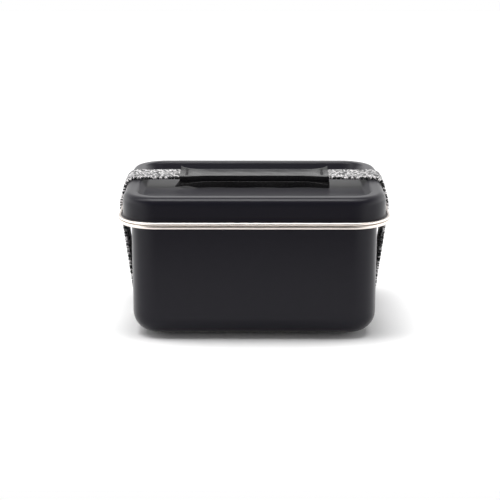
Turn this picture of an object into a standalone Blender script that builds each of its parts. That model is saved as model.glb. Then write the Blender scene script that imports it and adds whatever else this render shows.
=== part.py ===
"""Metal lunch box: a deep steel box and a lid, held shut by an elastic band with a leather handle.

Blender 4.5, metres, +Z up. The origin is at the middle of the footprint, on the surface that the
box stands on. X runs along the long side, and -Y is the front. The elastic band goes round the
box in the XZ plane: under the base, up over the two rims and across the lid's recessed top.
"""

import math

import bmesh
import bpy
from mathutils import Vector

# Rims, as a plan outline that everything else is inset from
RIM_WIDTH = 0.180
RIM_DEPTH = 0.138
RIM_CORNER = 0.027
BEAD_HEIGHT = 0.0022
TRIM_LIP = 0.0012

# Steel sheet parts
SHEET = 0.0006
BODY_HEIGHT = 0.0783
FLANGE_REACH = 0.0085
BASE_RADIUS = 0.014
MOUTH_RADIUS = 0.0016
LID_HEIGHT = 0.0173
LID_INSET = 0.003
LID_EDGE_RADIUS = 0.004
BORDER_WIDTH = 0.0097
BORDER_RADIUS = 0.0012
RECESS_DEPTH = 0.0055
RECESS_RUN = 0.0035
LEAST_CORNER = 0.002

# Silicone seal in the lid
SEAL_WALL = 0.0014
SEAL_GRIP = 0.0045
SEAL_PLUG = 0.0050
SEAL_PLAY = 0.0004

# Elastic band and the handle on it
STRAP_WIDTH = 0.025
STRAP_THICKNESS = 0.0022
STRAP_PRESSED = 0.0015
STRAP_SHIFT = 0.005
STRAP_GATHER = 0.004
HANDLE_LENGTH = 0.102
LEATHER = 0.0010
SLEEVE_CORNER = 0.0015
FIN_THICKNESS = 0.0020
THREAD = 0.0006
TACK_SETBACK = 0.0044

# Clearance between pieces that touch, and steps on round stretches
GAP = 0.0003
CORNER_STEPS = 8
ARC_STEPS = 6
SMALL_ARC_STEPS = 3

# Levels worked out from the sizes above
BASE_LEVEL = STRAP_PRESSED + GAP
JOINT_LEVEL = BASE_LEVEL + BODY_HEIGHT
LID_TOP = JOINT_LEVEL + LID_HEIGHT
RECESS_FLOOR = LID_TOP - RECESS_DEPTH
BEAD_RADIUS = BEAD_HEIGHT / 2
BODY_BEAD_LEVEL = JOINT_LEVEL - GAP / 2 - BEAD_RADIUS
LID_BEAD_LEVEL = JOINT_LEVEL + GAP / 2 + BEAD_RADIUS
WALL_CORNER = RIM_CORNER - FLANGE_REACH
FLOOR_RADIUS = min(BASE_RADIUS, WALL_CORNER - LEAST_CORNER)
RECESS_INSET = LID_INSET + BORDER_WIDTH
STRAP_LEVEL = LID_TOP + GAP
HANDLE_END = HANDLE_LENGTH / 2
CORE_WIDTH = STRAP_WIDTH - STRAP_GATHER


def clear_scene():
    for obj in list(bpy.data.objects):
        bpy.data.objects.remove(obj)


def material(name, colour, roughness, metallic=0.0):
    made = bpy.data.materials.new(name)
    made.use_nodes = True
    shader = made.node_tree.nodes["Principled BSDF"]
    shader.inputs["Base Color"].default_value = (*colour, 1.0)
    shader.inputs["Roughness"].default_value = roughness
    shader.inputs["Metallic"].default_value = metallic
    return made


def arc(centre, radius, start, end, steps):
    """Points (x, y) of an arc, from one angle in degrees to another."""
    angles = [math.radians(start + (end - start) * i / steps) for i in range(steps + 1)]
    return [(centre[0] + radius * math.cos(a), centre[1] + radius * math.sin(a)) for a in angles]


def finish(obj, parent, look):
    """Puts a new object in the scene under its body's empty, with its one material."""
    bpy.context.scene.collection.objects.link(obj)
    obj.parent = parent
    obj.matrix_parent_inverse = parent.matrix_world.inverted()
    obj.data.materials.append(look)
    if obj.type == "MESH":
        obj.data.shade_smooth()
        obj.data.set_sharp_from_angle(angle=math.radians(35))
    return obj


def mesh_object(name, shape, parent, look):
    bmesh.ops.recalc_face_normals(shape, faces=shape.faces)
    mesh = bpy.data.meshes.new(name)
    shape.to_mesh(mesh)
    shape.free()
    return finish(bpy.data.objects.new(name, mesh), parent, look)


# ---- Pieces that follow the rim's outline: pans, trims and the seal ----


def rim_outline(inset):
    """The rim's plan outline moved inwards, as points (x, y) counter-clockwise."""
    half_x = RIM_WIDTH / 2 - inset
    half_y = RIM_DEPTH / 2 - inset
    radius = RIM_CORNER - inset
    corners = [(1, 1, 0), (-1, 1, 90), (-1, -1, 180), (1, -1, 270)]
    points = []
    for side_x, side_y, turn in corners:
        centre = (side_x * (half_x - radius), side_y * (half_y - radius))
        points += arc(centre, radius, turn, turn + 90, CORNER_STEPS)
    return points


def sweep(name, profile, parent, look, closed):
    """A profile of points (inset, z) carried round the rim's outline.

    A closed profile makes a ring. An open one makes a pan, and its two ends are filled.
    """
    shape = bmesh.new()
    rings = []
    for inset, z in profile:
        rings.append([shape.verts.new((x, y, z)) for x, y in rim_outline(inset)])
    pairs = list(zip(rings, rings[1:]))
    if closed:
        pairs.append((rings[-1], rings[0]))
    else:
        shape.faces.new(rings[0])
        shape.faces.new(rings[-1])
    for ring, following in pairs:
        for i in range(len(ring)):
            shape.faces.new((ring[i - 1], ring[i], following[i], following[i - 1]))
    return mesh_object(name, shape, parent, look)


def body_shell_profile():
    """Outside from the base up to the flange's edge, then back down the inside."""
    flange_edge = BEAD_RADIUS
    flange_top = BODY_BEAD_LEVEL + SHEET / 2
    flange_under = BODY_BEAD_LEVEL - SHEET / 2
    floor_centre = (FLANGE_REACH + FLOOR_RADIUS, BASE_LEVEL + FLOOR_RADIUS)
    neck_centre = (FLANGE_REACH - MOUTH_RADIUS, flange_under - MOUTH_RADIUS)
    outside = arc(floor_centre, FLOOR_RADIUS, 270, 180, ARC_STEPS)
    outside += arc(neck_centre, MOUTH_RADIUS, 0, 90, SMALL_ARC_STEPS)
    outside += [(flange_edge, flange_under), (flange_edge, flange_top)]
    inside = arc(neck_centre, MOUTH_RADIUS + SHEET, 90, 0, SMALL_ARC_STEPS)
    inside += arc(floor_centre, FLOOR_RADIUS - SHEET, 180, 270, ARC_STEPS)
    return outside + inside


def lid_shell_profile():
    """Outside from the recess floor out to the flange's edge, then back along the underside."""
    flange_edge = BEAD_RADIUS
    flange_top = LID_BEAD_LEVEL + SHEET / 2
    flange_under = LID_BEAD_LEVEL - SHEET / 2
    edge_centre = (LID_INSET + LID_EDGE_RADIUS, LID_TOP - LID_EDGE_RADIUS)
    brim_centre = (RECESS_INSET - BORDER_RADIUS, LID_TOP - BORDER_RADIUS)
    wall_turn = math.degrees(math.atan2(RECESS_RUN, RECESS_DEPTH))
    foot = RECESS_INSET + RECESS_RUN
    outside = [(foot, RECESS_FLOOR)]
    outside += arc(brim_centre, BORDER_RADIUS, wall_turn, 90, SMALL_ARC_STEPS)
    outside += arc(edge_centre, LID_EDGE_RADIUS, 90, 180, ARC_STEPS)
    outside += [(LID_INSET, flange_top), (flange_edge, flange_top)]
    inside = [(flange_edge, flange_under), (LID_INSET + SHEET, flange_under)]
    inside += arc(edge_centre, LID_EDGE_RADIUS - SHEET, 180, 90, ARC_STEPS)
    inside += arc(brim_centre, BORDER_RADIUS - SHEET, 90, wall_turn, SMALL_ARC_STEPS)
    inside += [(foot - SHEET / 2, RECESS_FLOOR - SHEET)]
    return outside + inside


def trim_profile(level):
    """A rolled steel edge: a half round outside, and a slot that holds the flange's edge."""
    slot = SHEET / 2 + GAP
    lip = BEAD_RADIUS + TRIM_LIP
    bottom = BEAD_RADIUS - GAP
    outside = arc((BEAD_RADIUS, level), BEAD_RADIUS, 270, 90, ARC_STEPS)
    slot_edge = [(lip, level + BEAD_RADIUS), (lip, level + slot), (bottom, level + slot)]
    slot_edge += [(bottom, level - slot), (lip, level - slot), (lip, level - BEAD_RADIUS)]
    return outside + slot_edge


def seal_profile():
    """A web on the body's flange, a grip up the lid's wall and a plug down the body's mouth."""
    outer = LID_INSET + SHEET + GAP
    web_under = BODY_BEAD_LEVEL + SHEET / 2 + GAP
    web_top = web_under + SEAL_WALL
    plug = FLANGE_REACH + SHEET + SEAL_PLAY
    return [
        (outer, web_under),
        (outer, web_top + SEAL_GRIP),
        (outer + SEAL_WALL, web_top + SEAL_GRIP),
        (outer + SEAL_WALL, web_top),
        (plug + SEAL_WALL, web_top),
        (plug + SEAL_WALL, web_under - SEAL_PLUG),
        (plug, web_under - SEAL_PLUG),
        (plug, web_under),
    ]


# ---- The elastic band: a taut route over round edges, cut into runs ----


def shared_normal(start, end):
    """Angle in degrees of the outward normal where a taut band leaves one circle for the next."""
    (x1, z1, r1), (x2, z2, r2) = start, end
    heading = math.atan2(z2 - z1, x2 - x1)
    lean = math.asin((r1 - r2) / math.hypot(x2 - x1, z2 - z1))
    return math.degrees(heading + lean) - 90


def band_arc(circle, start, end, steps):
    """Stations (x, z, normal in degrees) along the band's inner face as it rounds a circle."""
    x, z, radius = circle
    angles = [start + (end - start) * i / steps for i in range(steps + 1)]
    return [(px, pz, a) for (px, pz), a in zip(arc((x, z), radius, start, end, steps), angles)]


def mirrored(stations):
    return [(-x, z, 180 - angle) for x, z, angle in reversed(stations)]


def band_runs():
    """The right half of the band's route as named runs of stations."""
    half = RIM_WIDTH / 2
    base_edge = (half - FLANGE_REACH - FLOOR_RADIUS, BASE_LEVEL + FLOOR_RADIUS, FLOOR_RADIUS + GAP)
    body_bead = (half - BEAD_RADIUS, BODY_BEAD_LEVEL, BEAD_RADIUS + GAP)
    lid_bead = (half - BEAD_RADIUS, LID_BEAD_LEVEL, BEAD_RADIUS + GAP)
    lid_edge = (
        half - LID_INSET - LID_EDGE_RADIUS,
        LID_TOP - LID_EDGE_RADIUS,
        LID_EDGE_RADIUS + GAP,
    )
    leaves_base = shared_normal(base_edge, body_bead)
    leaves_rim = shared_normal(lid_bead, lid_edge)

    base = band_arc(base_edge, -90, leaves_base, ARC_STEPS)
    x, z, angle = base[-1]
    along = math.radians(angle + 90)
    side = [(x + GAP * math.cos(along), z + GAP * math.sin(along), angle)]
    side += band_arc(body_bead, leaves_base, 0, SMALL_ARC_STEPS)
    side += [(half + GAP, JOINT_LEVEL - GAP / 2, 0)]
    shoulder = [(half + GAP, JOINT_LEVEL + GAP / 2, 0)]
    shoulder += band_arc(lid_bead, 0, leaves_rim, SMALL_ARC_STEPS)
    shoulder += band_arc(lid_edge, leaves_rim, 90, ARC_STEPS)
    brim = half - RECESS_INSET + BORDER_RADIUS
    shoulder += [(brim, STRAP_LEVEL, 90)]
    bridge = [(brim - GAP, STRAP_LEVEL, 90), (HANDLE_END + GAP, STRAP_LEVEL, 90)]
    return {"base": base, "side": side, "shoulder": shoulder, "bridge": bridge}


def band_thickness(z):
    """The band is pressed thin under the base, and has its full thickness from the base's round up."""
    rise = (z - BASE_LEVEL + GAP) / FLOOR_RADIUS
    return STRAP_PRESSED + (STRAP_THICKNESS - STRAP_PRESSED) * min(max(rise, 0), 0.8) / 0.8


def band(name, stations, parent, look, width=STRAP_WIDTH):
    """A flat band along its stations, thick outwards and wide along Y."""
    shape = bmesh.new()
    sections = []
    for x, z, angle in stations:
        out = Vector((math.cos(math.radians(angle)), 0, math.sin(math.radians(angle))))
        inner = Vector((x, STRAP_SHIFT, z))
        outer = inner + band_thickness(z) * out
        side = Vector((0, width / 2, 0))
        corners = (inner - side, outer - side, outer + side, inner + side)
        sections.append([shape.verts.new(corner) for corner in corners])
    for section, following in zip(sections, sections[1:]):
        for i in range(4):
            shape.faces.new((section[i - 1], section[i], following[i], following[i - 1]))
    shape.faces.new(sections[0])
    shape.faces.new(sections[-1])
    return mesh_object(name, shape, parent, look)


# ---- The leather handle ----


def rounded_box(low_y, high_y, low_z, high_z, radius):
    """A rectangle with round corners, counter-clockwise from its lower right corner."""
    points = arc((high_y - radius, low_z + radius), radius, 270, 360, SMALL_ARC_STEPS)
    points += arc((high_y - radius, high_z - radius), radius, 0, 90, SMALL_ARC_STEPS)
    points += arc((low_y + radius, high_z - radius), radius, 90, 180, SMALL_ARC_STEPS)
    return points


def sleeve_outlines():
    """The sleeve's section in the YZ plane: round the band, with its seam hanging as a fin."""
    half_core = CORE_WIDTH / 2 + GAP
    low_y = STRAP_SHIFT - half_core
    high_y = STRAP_SHIFT + half_core
    low_z = STRAP_LEVEL - GAP
    high_z = STRAP_LEVEL + STRAP_THICKNESS + GAP
    front = low_y - LEATHER
    fin_foot = RECESS_FLOOR + GAP
    outer = rounded_box(front, high_y + LEATHER, low_z - LEATHER, high_z + LEATHER, SLEEVE_CORNER)
    outer += [(front, fin_foot), (front + FIN_THICKNESS, fin_foot)]
    outer += [(front + FIN_THICKNESS, low_z - LEATHER)]
    inner = [(low_y, low_z), (high_y, low_z), (high_y, high_z), (low_y, high_z)]
    return outer, inner


def sleeve(name, parent, look):
    """A flat curve in the YZ plane, thick along X, with a hole for the band."""
    curve = bpy.data.curves.new(name, "CURVE")
    curve.dimensions = "2D"
    curve.fill_mode = "BOTH"
    curve.extrude = HANDLE_LENGTH / 2
    for outline in sleeve_outlines():
        spline = curve.splines.new("POLY")
        spline.points.add(len(outline) - 1)
        for point, (y, z) in zip(spline.points, outline):
            point.co = (y, z, 0, 1)
        spline.use_cyclic_u = True
    obj = bpy.data.objects.new(name, curve)
    obj.rotation_euler = (math.radians(90), 0, math.radians(90))
    return finish(obj, parent, look)


def thread(name, start, end, parent, look):
    """One row of stitching, kept plain as a straight run of thread."""
    curve = bpy.data.curves.new(name, "CURVE")
    curve.dimensions = "3D"
    curve.bevel_depth = THREAD / 2
    curve.bevel_resolution = 2
    curve.use_fill_caps = True
    spline = curve.splines.new("POLY")
    spline.points.add(1)
    spline.points[0].co = (*start, 1)
    spline.points[1].co = (*end, 1)
    return finish(bpy.data.objects.new(name, curve), parent, look)


def body_empty(name, place, parent=None):
    """An empty that a body's pieces hang from, on the axis that the body slides along."""
    empty = bpy.data.objects.new(name, None)
    empty.location = place
    if parent:
        empty.parent = parent
        empty.matrix_parent_inverse = parent.matrix_world.inverted()
    bpy.context.scene.collection.objects.link(empty)
    bpy.context.view_layer.update()
    return empty


def build_box(box, looks):
    sweep("body_shell", body_shell_profile(), box, looks["coat"], closed=False)
    sweep("body_rim", trim_profile(BODY_BEAD_LEVEL), box, looks["steel"], closed=True)


def build_lid(lid, looks):
    sweep("lid_shell", lid_shell_profile(), lid, looks["coat"], closed=False)
    sweep("lid_rim", trim_profile(LID_BEAD_LEVEL), lid, looks["steel"], closed=True)
    sweep("lid_gasket", seal_profile(), lid, looks["silicone"], closed=True)


def build_strap(box, lid, handle, looks):
    runs = band_runs()
    base = runs["base"]
    band("strap_bottom", mirrored(base) + base, box, looks["elastic"])
    for run, body in (("side", box), ("shoulder", lid), ("bridge", lid)):
        band(f"strap_{run}_right", runs[run], body, looks["elastic"])
        band(f"strap_{run}_left", mirrored(runs[run]), body, looks["elastic"])
    core = [(HANDLE_END, STRAP_LEVEL, 90), (-HANDLE_END, STRAP_LEVEL, 90)]
    band("strap_core", core, handle, looks["elastic"], width=CORE_WIDTH)


def build_handle(handle, looks):
    sleeve("handle_sleeve", handle, looks["leather"])
    outer, _ = sleeve_outlines()
    front = min(y for y, _ in outer)
    back = max(y for y, _ in outer)
    top = max(z for _, z in outer)
    seam_y = front - GAP - THREAD / 2
    seam_z = STRAP_LEVEL - GAP - LEATHER
    seam = ((-HANDLE_END, seam_y, seam_z), (HANDLE_END, seam_y, seam_z))
    thread("handle_seam_thread", *seam, handle, looks["thread"])
    tack_z = top + GAP + THREAD / 2
    for side, name in ((-1, "bar_tack_left"), (1, "bar_tack_right")):
        x = side * (HANDLE_END - TACK_SETBACK)
        start = (x, front + SLEEVE_CORNER, tack_z)
        thread(name, start, (x, back - SLEEVE_CORNER, tack_z), handle, looks["thread"])


def main():
    clear_scene()
    looks = {
        "coat": material("black_coat", (0.022, 0.021, 0.024), 0.42),
        "steel": material("bare_steel", (0.80, 0.77, 0.74), 0.22, metallic=1.0),
        "silicone": material("grey_silicone", (0.30, 0.30, 0.31), 0.55),
        "elastic": material("grey_elastic", (0.36, 0.35, 0.36), 0.9),
        "leather": material("black_leather", (0.02, 0.019, 0.02), 0.38),
        "thread": material("black_thread", (0.04, 0.038, 0.04), 0.6),
    }
    box = body_empty("box_body", (0, 0, 0))
    lid = body_empty("lid_body", (0, 0, JOINT_LEVEL), box)
    handle = body_empty("handle_body", (0, STRAP_SHIFT, STRAP_LEVEL), lid)
    build_box(box, looks)
    build_lid(lid, looks)
    build_strap(box, lid, handle, looks)
    build_handle(handle, looks)


main()
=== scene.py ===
"""Steel lunch box with a woven elastic band and a leather handle, built round its CAD frame."""

import math

import bmesh
import bpy
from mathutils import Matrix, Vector


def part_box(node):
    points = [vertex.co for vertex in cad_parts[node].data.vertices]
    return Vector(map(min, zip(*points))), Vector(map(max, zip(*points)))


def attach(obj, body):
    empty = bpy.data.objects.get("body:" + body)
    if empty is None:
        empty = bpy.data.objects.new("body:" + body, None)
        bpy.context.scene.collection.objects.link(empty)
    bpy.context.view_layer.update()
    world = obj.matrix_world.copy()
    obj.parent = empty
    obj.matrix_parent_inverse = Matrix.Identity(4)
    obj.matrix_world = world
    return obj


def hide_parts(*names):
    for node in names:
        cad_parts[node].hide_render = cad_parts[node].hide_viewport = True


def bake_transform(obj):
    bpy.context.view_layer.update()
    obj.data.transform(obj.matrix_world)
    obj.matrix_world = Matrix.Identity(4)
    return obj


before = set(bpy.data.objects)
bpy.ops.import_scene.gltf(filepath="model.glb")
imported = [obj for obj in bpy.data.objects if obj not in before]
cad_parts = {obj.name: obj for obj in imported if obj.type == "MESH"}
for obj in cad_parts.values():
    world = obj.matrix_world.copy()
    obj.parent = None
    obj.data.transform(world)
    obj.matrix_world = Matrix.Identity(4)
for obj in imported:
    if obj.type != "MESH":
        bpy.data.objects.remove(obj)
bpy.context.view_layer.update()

bl_info = {
    "name": "Steel Lunch Box",
    "version": (1, 0, 0),
    "blender": (4, 5, 0),
    "location": "3D View > Sidebar > Lunch Box",
    "description": "Builds a coated steel lunch box with an elastic band and a leather handle",
    "category": "Object",
}

# Levels and spans that the frame gives
RIM_LOW, RIM_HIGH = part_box("body_rim")
LID_RIM_LOW, LID_RIM_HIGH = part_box("lid_rim")
BAND_LOW, BAND_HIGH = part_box("strap_bridge_right")
SEAL_LOW, SEAL_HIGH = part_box("lid_gasket")
TACK_LOW, TACK_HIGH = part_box("bar_tack_right")

HALF_X, HALF_Y = RIM_HIGH[0], RIM_HIGH[1]
BASE_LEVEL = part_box("body_shell")[0][2]
LID_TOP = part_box("lid_shell")[1][2]
BODY_BEAD = (RIM_LOW[2] + RIM_HIGH[2]) / 2
LID_BEAD = (LID_RIM_LOW[2] + LID_RIM_HIGH[2]) / 2
BEAD_RADIUS = (RIM_HIGH[2] - RIM_LOW[2]) / 2
BAND_LEVEL = BAND_LOW[2]
BAND_MIDDLE = (BAND_LOW[1] + BAND_HIGH[1]) / 2
HANDLE_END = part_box("handle_sleeve")[1][0]
TACK_X = (TACK_LOW[0] + TACK_HIGH[0]) / 2

GAP = 0.0003  # clearance between two pieces that lie on each other
TINY = 1e-9  # tolerance when levels are compared


def size(name, default, description):
    return bpy.props.FloatProperty(
        name=name, description=description, default=default, unit="LENGTH", precision=5
    )


def share(name, default, description):
    return bpy.props.FloatProperty(
        name=name, description=description, default=default, min=0, max=1, subtype="FACTOR"
    )


def colour(name, default, description):
    return bpy.props.FloatVectorProperty(
        name=name, description=description, default=default, size=3, min=0, max=1, subtype="COLOR"
    )


class LunchBoxSizes(bpy.types.PropertyGroup):
    rim_corner: size("Rim Corner", 0.027, "Plan radius of the rims' corners")
    sheet: size("Sheet", 0.0006, "Thickness of the steel sheet")
    wall_inset: size("Wall Inset", 0.0085, "From the rim's edge in to the body's wall")
    base_radius: size("Base Radius", 0.014, "Round between the body's wall and its base")
    mouth_radius: size("Mouth Radius", 0.0016, "Round between the body's wall and its flange")
    lid_inset: size("Lid Inset", 0.003, "From the rim's edge in to the lid's wall")
    lid_edge: size("Lid Edge Radius", 0.0052, "Round along the lid's top edge")
    border: size("Border Width", 0.0097, "Flat border round the lid's recess")
    border_radius: size("Border Radius", 0.0024, "Round at the border's inner edge")
    recess: size("Recess Depth", 0.0055, "Depth of the lid's recess")
    recess_run: size("Recess Run", 0.0035, "How far the recess wall slopes in")
    recess_foot: size("Recess Foot Radius", 0.0022, "Round at the foot of the recess wall")
    lid_squash: share("Lid Rim Squash", 0.8, "Height of the lid's rim as a share of the body's")
    seal_lip: size("Seal Lip", 0.0005, "How far each soft lip stands out of the seal's plug")


class LunchBoxBand(bpy.types.PropertyGroup):
    rib: size("Rib Height", 0.00012, "Height of the lengthwise ribs")
    rib_pitch: size("Rib Pitch", 0.0021, "Distance between lengthwise ribs")
    edge_round: size("Edge Round", 0.0006, "Rounding of the band's two edges")
    mouth_width: size("Width At Handle", 0.0240, "Band width where it enters the handle")
    core_width: size("Width Inside Handle", 0.0145, "Band width inside the handle")
    loop_pitch: size("Edge Loop Pitch", 0.00092, "Distance between loops along the band's edges")
    loop_size: size("Edge Loop Size", 0.00052, "Radius of one edge loop")
    stretch_weave: size(
        "Slack In Joint", 0.055, "Weave held ready where the lid parts from the box"
    )
    light: colour("Light Yarn", (0.84, 0.82, 0.82), "Lightest yarn")
    middle: colour("Grey Yarn", (0.30, 0.295, 0.30), "Middle yarn")
    dark: colour("Black Yarn", (0.012, 0.012, 0.014), "Darkest yarn")


class LunchBoxHandle(bpy.types.PropertyGroup):
    leather: size("Leather", 0.0009, "Thickness of the leather")
    end_front: size("End Front", 0.0138, "From the band's middle to the front, at the ends")
    end_back: size("End Back", 0.0133, "From the band's middle to the back, at the ends")
    waist_front: size("Waist Front", 0.0125, "From the band's middle to the front, at the waist")
    waist_back: size("Waist Back", 0.0052, "From the band's middle to the back, at the waist")
    end_run: size("End Run", 0.021, "Length over which each end widens")
    end_top: size("End Top", 0.0032, "Height of the top above the band's inner face, at the ends")
    waist_top: size(
        "Waist Top", 0.0037, "Height of the top above the band's inner face, at the waist"
    )
    trough: size("Trough", 0.0013, "Dip between the two rolled long edges")
    curl: size("Curl", 0.0018, "Lift of the back corners at the ends")
    fin_foot: size("Fin Foot", 0.0002, "Clearance of the fin above the recess")
    fin_lift: size("Fin Lift", 0.0017, "How much higher the fin's lower edge is at its free end")
    flare: size("Flare", 0.0032, "How far the fin's free tip stands out")
    stitch_pitch: size("Stitch Pitch", 0.0031, "Distance between stitches in the seam")
    stitch_length: size("Stitch Length", 0.0024, "Length of one stitch")
    thread: size("Thread", 0.0005, "Thickness of the thread")
    tack_width: size("Tack Width", 0.0014, "Width of a bar tack")
    tack_pitch: size("Tack Pitch", 0.00042, "Distance between the passes of a bar tack")


class LunchBoxLooks(bpy.types.PropertyGroup):
    coat: colour("Coat", (0.0076, 0.0068, 0.0112), "Satin coating of the steel")
    coat_worn: colour("Rubbed Coat", (0.020, 0.019, 0.023), "Coating where edges are rubbed")
    coat_rough: share("Coat Roughness", 0.30, "Roughness of the coating")
    steel: colour("Steel", (0.82, 0.755, 0.70), "Bare steel of the rims and the inside")
    steel_rough: share("Steel Roughness", 0.28, "Roughness of the rims")
    seal: colour("Seal", (0.33, 0.33, 0.34), "Silicone seal")
    leather: colour("Leather Colour", (0.0032, 0.0029, 0.0034), "Leather of the handle")
    raw_edge: colour("Raw Leather Edge", (0.16, 0.115, 0.085), "Cut edge of the leather")
    thread: colour("Thread Colour", (0.018, 0.017, 0.018), "Sewing thread")
    floor: colour("Floor", (0.93, 0.93, 0.93), "Studio floor")


# ---- Node trees ----


class Net:
    """Adds nodes to a tree. An input takes a constant or another node's output."""

    def __init__(self, tree):
        self.tree = tree

    def add(self, kind, inputs=(), **settings):
        made = self.tree.nodes.new(kind)
        for name, value in settings.items():
            setattr(made, name, value)
        for key, value in dict(inputs).items():
            self.put(made, key, value)
        return made

    def put(self, node, key, value):
        if isinstance(value, bpy.types.NodeSocket):
            self.tree.links.new(value, node.inputs[key])
        else:
            node.inputs[key].default_value = value

    def maths(self, operation, *values, clamp=False):
        node = self.add("ShaderNodeMath", enumerate(values), operation=operation)
        node.use_clamp = clamp
        return node.outputs[0]

    def blend(self, factor, a, b):
        node = self.add("ShaderNodeMix", data_type="RGBA")
        self.put(node, 0, factor)
        self.put(node, 6, a)
        self.put(node, 7, b)
        return node.outputs[2]

    def span(self, value, low, high, to_low=0.0, to_high=1.0):
        inputs = {0: value, 1: low, 2: high, 3: to_low, 4: to_high}
        return self.add("ShaderNodeMapRange", inputs, interpolation_type="SMOOTHSTEP").outputs[0]


def group(name, ins, outs):
    """A shader node group with sockets (name, kind, default): its net, inputs and output node."""
    tree = bpy.data.node_groups.new(name, "ShaderNodeTree")
    for label, kind, default in ins:
        made = tree.interface.new_socket(label, in_out="INPUT", socket_type=kind)
        made.default_value = default
    for label, kind in outs:
        tree.interface.new_socket(label, in_out="OUTPUT", socket_type=kind)
    net = Net(tree)
    entry = net.add("NodeGroupInput")
    leave = net.add("NodeGroupOutput")
    return net, entry.outputs, leave


VALUE = "NodeSocketFloat"
COLOUR = "NodeSocketColor"
VECTOR = "NodeSocketVector"


def drifting(net, noise, given):
    """The Roughness input, drifting by Spread to either side with a noise."""
    centred = net.maths("SUBTRACT", noise, 0.5)
    reach = net.maths("MULTIPLY", given["Spread"], 2.0)
    return net.maths("MULTIPLY_ADD", centred, reach, given["Roughness"])


def sprayed_surface():
    """Orange-peel height and a drifting roughness, for a sprayed or moulded surface."""
    net, given, leave = group(
        "sprayed_surface",
        [
            ("Grain", VALUE, 1600),
            ("Drift", VALUE, 35),
            ("Roughness", VALUE, 0.4),
            ("Spread", VALUE, 0.05),
        ],
        [("Roughness", VALUE), ("Height", VALUE), ("Drift", VALUE)],
    )
    place = net.add("ShaderNodeTexCoord").outputs["Object"]
    fine = net.add("ShaderNodeTexNoise", {"Vector": place, "Scale": given["Grain"], "Detail": 3.0})
    wide = net.add("ShaderNodeTexNoise", {"Vector": place, "Scale": given["Drift"], "Detail": 4.0})
    net.put(leave, "Roughness", drifting(net, wide.outputs["Fac"], given))
    net.put(leave, "Height", fine.outputs["Fac"])
    net.put(leave, "Drift", wide.outputs["Fac"])
    return net.tree


BREAKUP_SPAN = (0.42, 0.62)  # noise over which the rubbing fades in


def rubbed_edges():
    """A mask that is 1 on the most raised edges, broken up by noise."""
    net, given, leave = group(
        "rubbed_edges",
        [("Start", VALUE, 0.53), ("Full", VALUE, 0.6), ("Breakup", VALUE, 160)],
        [("Mask", VALUE)],
    )
    sharp = net.add("ShaderNodeNewGeometry").outputs["Pointiness"]
    place = net.add("ShaderNodeTexCoord").outputs["Object"]
    noise = net.add(
        "ShaderNodeTexNoise", {"Vector": place, "Scale": given["Breakup"], "Detail": 5.0}
    )
    raised = net.add("ShaderNodeMapRange", {0: sharp, 1: given["Start"], 2: given["Full"]})
    broken = net.span(noise.outputs["Fac"], *BREAKUP_SPAN)
    net.put(leave, "Mask", net.maths("MULTIPLY", raised.outputs[0], broken))
    return net.tree


def brushed_lines():
    """Fine lines drawn out along one axis, for worked steel."""
    net, given, leave = group(
        "brushed_lines",
        [("Stretch", VECTOR, (1, 1, 1)), ("Roughness", VALUE, 0.25), ("Spread", VALUE, 0.08)],
        [("Roughness", VALUE), ("Height", VALUE)],
    )
    place = net.add("ShaderNodeTexCoord").outputs["Object"]
    drawn = net.add("ShaderNodeVectorMath", operation="MULTIPLY")
    net.put(drawn, 0, place)
    net.put(drawn, 1, given["Stretch"])
    lines = net.add("ShaderNodeTexNoise", {"Vector": drawn.outputs[0], "Scale": 1.0, "Detail": 4.0})
    net.put(leave, "Roughness", drifting(net, lines.outputs["Fac"], given))
    net.put(leave, "Height", lines.outputs["Fac"])
    return net.tree


DOME_FALL = 3.2  # how steeply a stitch falls off from its middle
GROOVE_SHADE_SPAN = (0.15, 0.65)  # stitch height over which the painted shade between stitches fades out
GROOVE_SHADE_KEEP = 0.25  # share of its own colour that a stitch keeps in the painted shade of the groove


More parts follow.
